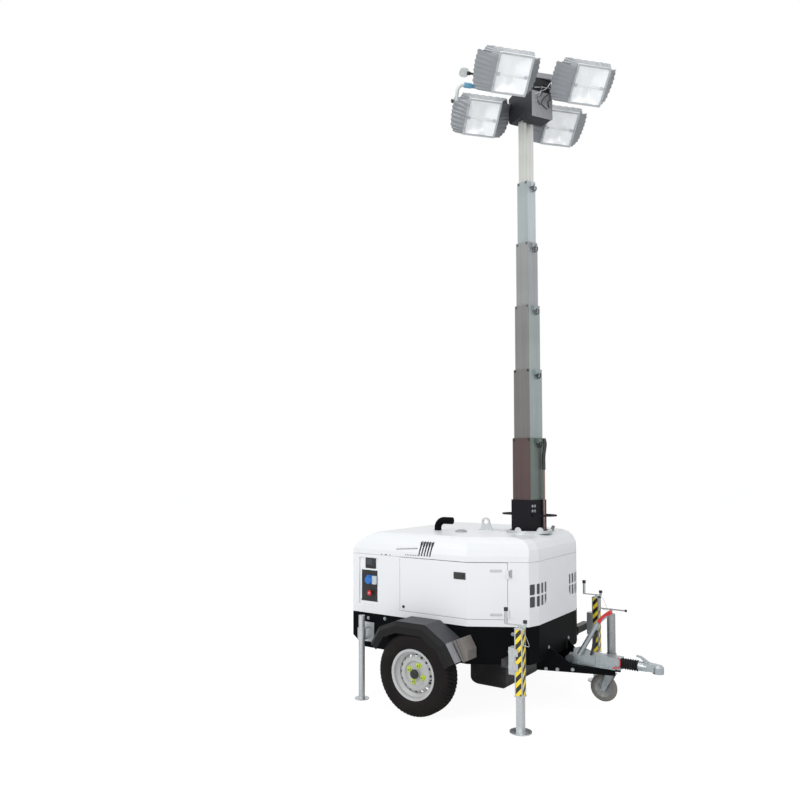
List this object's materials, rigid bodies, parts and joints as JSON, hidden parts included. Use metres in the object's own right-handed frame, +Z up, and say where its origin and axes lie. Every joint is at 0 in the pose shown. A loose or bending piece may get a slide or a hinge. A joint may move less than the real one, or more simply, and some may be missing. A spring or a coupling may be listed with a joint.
{
  "type": "towed mobile light tower",
  "caption": "Single-axle towed light tower: canopied generator, drawbar with jockey wheel, pull-out stabiliser legs, and a swivelling telescopic mast that carries floodlights.",
  "frame": {"origin": "on the ground, under the middle of the whole machine's outline seen from above", "axes": "+X to the tow coupling, +Y to the machine's left side, +Z up"},
  "size_m": [2.211, 1.815, 4.7856],
  "materials": {
    "white_paint": "satin",
    "black_paint": "satin",
    "galvanised": "zinc coated",
    "grey_steel": "satin",
    "wheel_silver": "silver paint",
    "tyre_rubber": "matte",
    "soft_rubber": "matte",
    "black_plastic": "grained",
    "grey_plastic": "grained",
    "blue_plastic": "gloss",
    "red_plastic": "gloss",
    "lamp_case": "die cast, painted grey",
    "cast_iron": "rough"
  },
  "bodies": {
    "trailer": {"tub": "black_paint", "drawbar": "black_paint", "overrun_housing": "galvanised", "bellows": "soft_rubber", "coupling_head": "galvanised", "handbrake": "galvanised", "axle": "black_paint", "fenders": "black_plastic", "wheel_chocks": "grey_plastic", "fuel_tank": "black_plastic", "engine": "cast_iron", "side_panels": "white_paint", "rear_panel": "white_paint", "front_panel": "white_paint", "hood": "white_paint", "control_panel": "black_plastic", "socket": "blue_plastic", "stop_button": "red_plastic", "exhaust": "black_paint", "lifting_frame": "galvanised", "mast_collar": "galvanised", "stand_sleeves": "galvanised", "prop_clamps": "galvanised", "jockey_tube": "galvanised"},
    "jockey_leg": {"jockey_stem": "galvanised"},
    "jockey_roller": {"jockey_wheel": "soft_rubber"},
    "mast_turret": {"mast_base": "black_paint"},
    "door_right": {"door_right": "white_paint", "latch_right": "black_plastic"},
    "wheel_right": {"tyre_right": "tyre_rubber", "rim_right": "wheel_silver"},
    "outrigger_right": {"outrigger_right": "galvanised"},
    "front_leg_right": {"leg_foot_right": "galvanised"},
    "rear_leg_right": {"prop_right": "galvanised"},
    "door_left": {"door_left": "white_paint", "latch_left": "black_plastic"},
    "wheel_left": {"tyre_left": "tyre_rubber", "rim_left": "wheel_silver"},
    "outrigger_left": {"outrigger_left": "galvanised"},
    "front_leg_left": {"leg_foot_left": "galvanised"},
    "rear_leg_left": {"prop_left": "galvanised"},
    "mast_stage_1": {"mast_1": "galvanised"},
    "mast_stage_2": {"mast_2": "galvanised"},
    "mast_stage_3": {"mast_3": "galvanised"},
    "mast_stage_4": {"mast_4": "galvanised"},
    "mast_stage_5": {"mast_5": "galvanised"},
    "mast_stage_6": {"mast_6": "galvanised", "head_box": "black_paint", "lamp_frame": "grey_steel"},
    "floodlight_upper_right": {"lamp_upper_right": "lamp_case"},
    "floodlight_upper_left": {"lamp_upper_left": "lamp_case"},
    "floodlight_lower_right": {"lamp_lower_right": "lamp_case"},
    "floodlight_lower_left": {"lamp_lower_left": "lamp_case"}
  },
  "joints": [
    {"name": "door_right_hinge", "type": "hinge", "parent": "trailer", "child": "door_right", "pos_m": [0.17809, -0.52932, 0.9], "axis": [0, 0, 1], "range_deg": [0, 70]},
    {"name": "wheel_right_spin", "type": "hinge", "parent": "trailer", "child": "wheel_right", "pos_m": [-0.3965, -0.815, 0.297], "axis": [0, 1, 0], "continuous": true},
    {"name": "outrigger_right_slide", "type": "slide", "parent": "trailer", "child": "outrigger_right", "axis": [0, -1, 0], "range_m": [0, 0.35]},
    {"name": "front_leg_right_slide", "type": "slide", "parent": "outrigger_right", "child": "front_leg_right", "axis": [0, 0, 1], "range_m": [0, 0.22]},
    {"name": "rear_leg_right_slide", "type": "slide", "parent": "trailer", "child": "rear_leg_right", "axis": [0, 0, 1], "range_m": [0, 0.3]},
    {"name": "door_left_hinge", "type": "hinge", "parent": "trailer", "child": "door_left", "pos_m": [0.17809, 0.52932, 0.9], "axis": [0, 0, -1], "range_deg": [0, 70]},
    {"name": "wheel_left_spin", "type": "hinge", "parent": "trailer", "child": "wheel_left", "pos_m": [-0.3965, 0.815, 0.297], "axis": [0, 1, 0], "continuous": true},
    {"name": "outrigger_left_slide", "type": "slide", "parent": "trailer", "child": "outrigger_left", "axis": [0, 1, 0], "range_m": [0, 0.35]},
    {"name": "front_leg_left_slide", "type": "slide", "parent": "outrigger_left", "child": "front_leg_left", "axis": [0, 0, 1], "range_m": [0, 0.22]},
    {"name": "rear_leg_left_slide", "type": "slide", "parent": "trailer", "child": "rear_leg_left", "axis": [0, 0, 1], "range_m": [0, 0.3]},
    {"name": "jockey_slide", "type": "slide", "parent": "trailer", "child": "jockey_leg", "axis": [0, 0, 1], "range_m": [-0.035, 0.03]},
    {"name": "jockey_roller_spin", "type": "hinge", "parent": "jockey_leg", "child": "jockey_roller", "pos_m": [0.6385, 0.112, 0.14], "axis": [0, 1, 0], "continuous": true},
    {"name": "mast_swivel", "type": "hinge", "parent": "trailer", "child": "mast_turret", "pos_m": [0.0985, 0, 1.3], "axis": [0, 0, 1], "range_deg": [-156, 184]},
    {"name": "mast_stage_1_slide", "type": "slide", "parent": "mast_turret", "child": "mast_stage_1", "axis": [0, 0, 1], "range_m": [-0.42, 0.5]},
    {"name": "mast_stage_2_slide", "type": "slide", "parent": "mast_stage_1", "child": "mast_stage_2", "axis": [0, 0, 1], "range_m": [-0.42, 0.5]},
    {"name": "mast_stage_3_slide", "type": "slide", "parent": "mast_stage_2", "child": "mast_stage_3", "axis": [0, 0, 1], "range_m": [-0.42, 0.5]},
    {"name": "mast_stage_4_slide", "type": "slide", "parent": "mast_stage_3", "child": "mast_stage_4", "axis": [0, 0, 1], "range_m": [-0.42, 0.5]},
    {"name": "mast_stage_5_slide", "type": "slide", "parent": "mast_stage_4", "child": "mast_stage_5", "axis": [0, 0, 1], "range_m": [-0.42, 0.5]},
    {"name": "mast_stage_6_slide", "type": "slide", "parent": "mast_stage_5", "child": "mast_stage_6", "axis": [0, 0, 1], "range_m": [-0.42, 0.5]},
    {"name": "lamp_upper_right_tilt", "type": "hinge", "parent": "mast_stage_6", "child": "floodlight_upper_right", "pos_m": [0.0988, -0.40102, 4.7603], "axis": [0.6428, 0.766, 0], "range_deg": [-40, 20]},
    {"name": "lamp_upper_left_tilt", "type": "hinge", "parent": "mast_stage_6", "child": "floodlight_upper_left", "pos_m": [0.49347, 0.06934, 4.7603], "axis": [0.6428, 0.766, 0], "range_deg": [-40, 20]},
    {"name": "lamp_lower_right_tilt", "type": "hinge", "parent": "mast_stage_6", "child": "floodlight_lower_right", "pos_m": [-0.32342, -0.08589, 4.678], "axis": [0.6428, 0.766, 0], "range_deg": [-40, 20]},
    {"name": "lamp_lower_left_tilt", "type": "hinge", "parent": "mast_stage_6", "child": "floodlight_lower_left", "pos_m": [0.10982, 0.43042, 4.678], "axis": [0.6428, 0.766, 0], "range_deg": [-40, 20]}
  ],
  "couplings": [
    {"joint": "mast_stage_2_slide", "follows": "mast_stage_1_slide", "ratio": 1},
    {"joint": "mast_stage_3_slide", "follows": "mast_stage_1_slide", "ratio": 1},
    {"joint": "mast_stage_4_slide", "follows": "mast_stage_1_slide", "ratio": 1},
    {"joint": "mast_stage_5_slide", "follows": "mast_stage_1_slide", "ratio": 1},
    {"joint": "mast_stage_6_slide", "follows": "mast_stage_1_slide", "ratio": 1}
  ]
}
